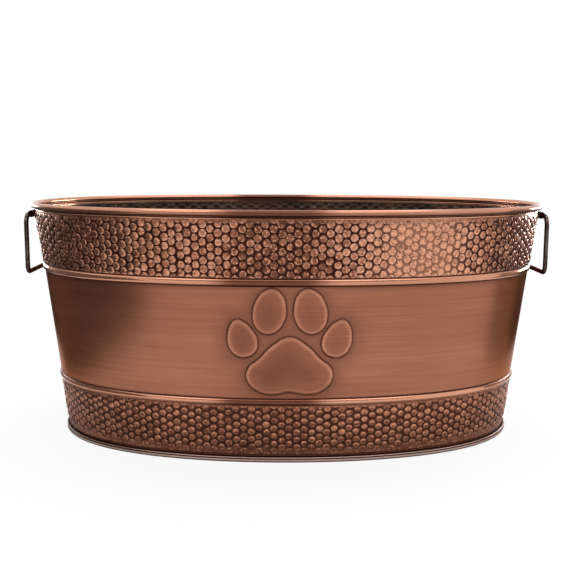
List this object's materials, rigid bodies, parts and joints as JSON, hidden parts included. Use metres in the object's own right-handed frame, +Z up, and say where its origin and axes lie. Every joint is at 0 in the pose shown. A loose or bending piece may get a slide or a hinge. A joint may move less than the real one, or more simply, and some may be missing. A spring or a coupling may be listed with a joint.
{
  "type": "log bucket",
  "caption": "Oval tapered sheet-metal log bucket with beaded, hammered and plain bands, an embossed paw print, a rolled rim and drop handles at its ends.",
  "frame": {"origin": "centre of the foot ring, on the surface that the bucket stands on", "axes": "+X along the length towards the right-hand handle, -Y towards the side with the paw, +Z up"},
  "size_m": [0.5118, 0.33, 0.2275],
  "materials": {
    "patinated_copper": "copper-plated steel sheet, brushed and darkened in its hollows",
    "dull_copper": "copper-plated steel sheet, dull and dark",
    "oiled_steel": "dark oiled steel, worn brighter on its edges"
  },
  "bodies": {
    "tub": {"front_wall": "patinated_copper", "rear_wall": "patinated_copper", "base_pan": "dull_copper", "rim_wire": "oiled_steel", "left_ear": "oiled_steel", "right_ear": "oiled_steel", "left_ear_front_rivet": "oiled_steel", "left_ear_rear_rivet": "oiled_steel", "right_ear_front_rivet": "oiled_steel", "right_ear_rear_rivet": "oiled_steel"},
    "left_handle": {"left_handle": "oiled_steel"},
    "right_handle": {"right_handle": "oiled_steel"}
  },
  "joints": [
    {"name": "left_handle_swing", "type": "hinge", "parent": "tub", "child": "left_handle", "pos_m": [-0.25248, 0, 0.2151], "axis": [0, 1, 0], "range_deg": [-7, 193]},
    {"name": "right_handle_swing", "type": "hinge", "parent": "tub", "child": "right_handle", "pos_m": [0.25248, 0, 0.2151], "axis": [0, -1, 0], "range_deg": [-7, 193]}
  ]
}
